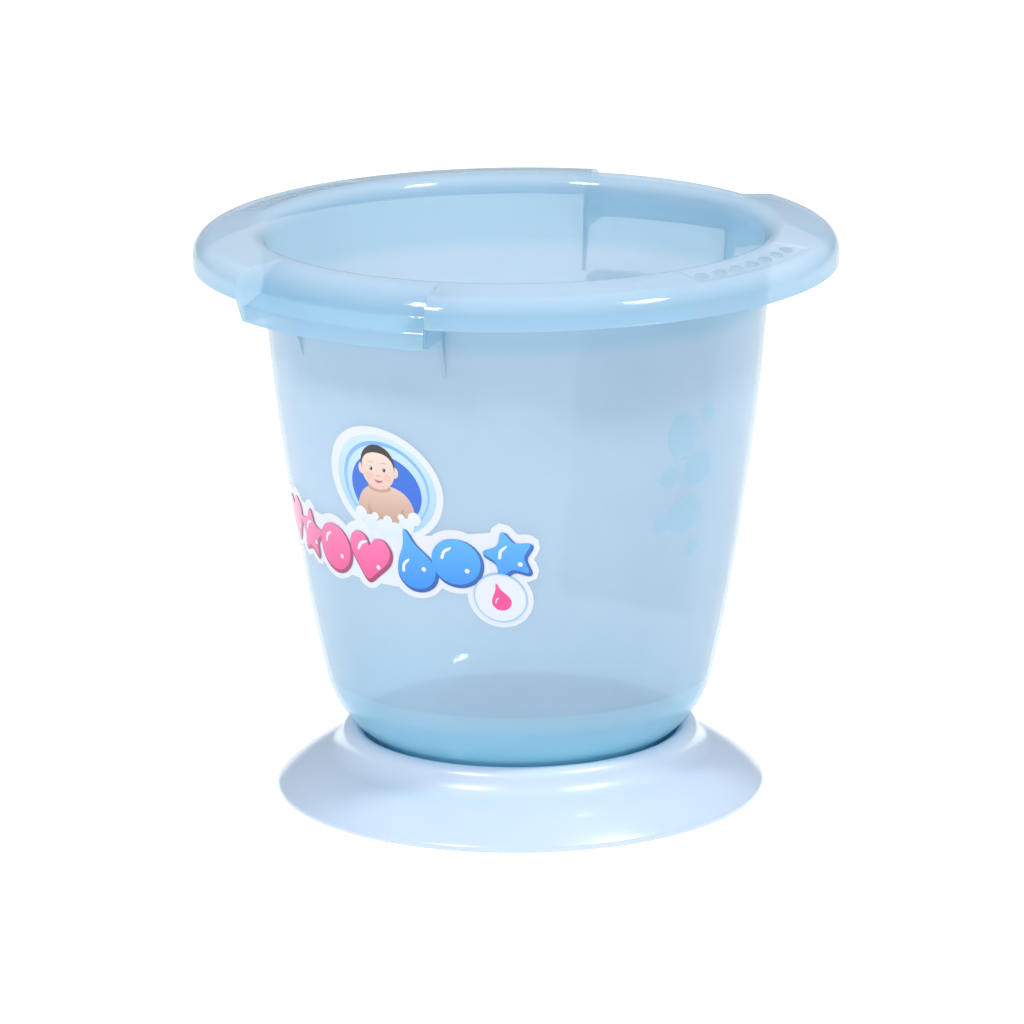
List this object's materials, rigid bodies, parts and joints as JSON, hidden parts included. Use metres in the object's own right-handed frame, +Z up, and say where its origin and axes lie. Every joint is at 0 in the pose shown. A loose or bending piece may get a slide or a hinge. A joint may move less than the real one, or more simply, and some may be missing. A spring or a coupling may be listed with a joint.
{
  "type": "baby bathtub",
  "caption": "Bucket-shaped baby bathtub of translucent plastic with two hand grips in its rolled rim, standing in a separate flared anti-tip base.",
  "frame": {"origin": "centre of the circle of rubber pads, at the level of their undersides", "axes": "+Z up, the front grip and front label face -Y, the rim's dotted panels lie on the X axis"},
  "size_m": [0.3998, 0.394, 0.359],
  "materials": {
    "tub_plastic": "translucent pale blue, polished",
    "base_plastic": "opaque pale blue, polished",
    "pad_rubber": "matt grippy rubber",
    "front_print": "printed die-cut film with a white border",
    "back_print": "milky translucent film with rounded corners",
    "side_print": "clear film with a faint tone-on-tone print"
  },
  "bodies": {
    "base": {"base_ring": "base_plastic", "foot_pads": "pad_rubber"},
    "tub": {"tub_shell": "tub_plastic", "front_label": "front_print", "back_label": "back_print", "side_label": "side_print"}
  },
  "joints": [
    {"name": "tub_lift", "type": "slide", "parent": "base", "child": "tub", "axis": [0, 0, 1], "range_m": [0, 0.08]}
  ]
}
